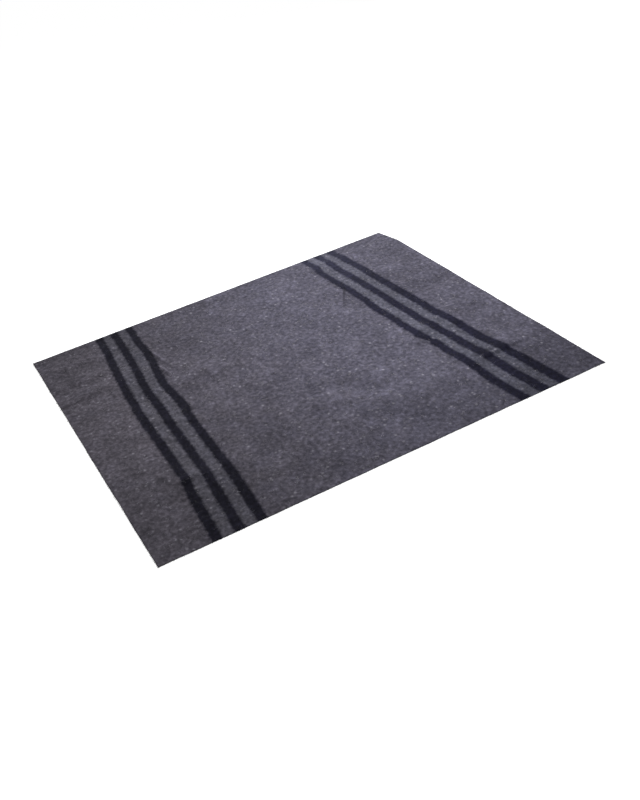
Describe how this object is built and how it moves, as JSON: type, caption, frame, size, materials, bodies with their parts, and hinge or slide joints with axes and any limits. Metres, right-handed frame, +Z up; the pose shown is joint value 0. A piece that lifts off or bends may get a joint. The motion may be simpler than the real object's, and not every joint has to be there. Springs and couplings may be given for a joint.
{
  "type": "prison blanket",
  "caption": "Rectangular grey felted wool blanket with dark stripes across each end, spread flat with soft storage folds.",
  "frame": {"origin": "on the floor under the middle of the blanket's bounding box", "axes": "+X along the length of the blanket, +Y across its width, +Z up off the floor"},
  "size_m": [2.004, 1.626, 0.011],
  "materials": {
    "wool": "matte milled and raised wool, heathered charcoal"
  },
  "bodies": {
    "root": {"blanket": "wool"}
  },
  "joints": []
}
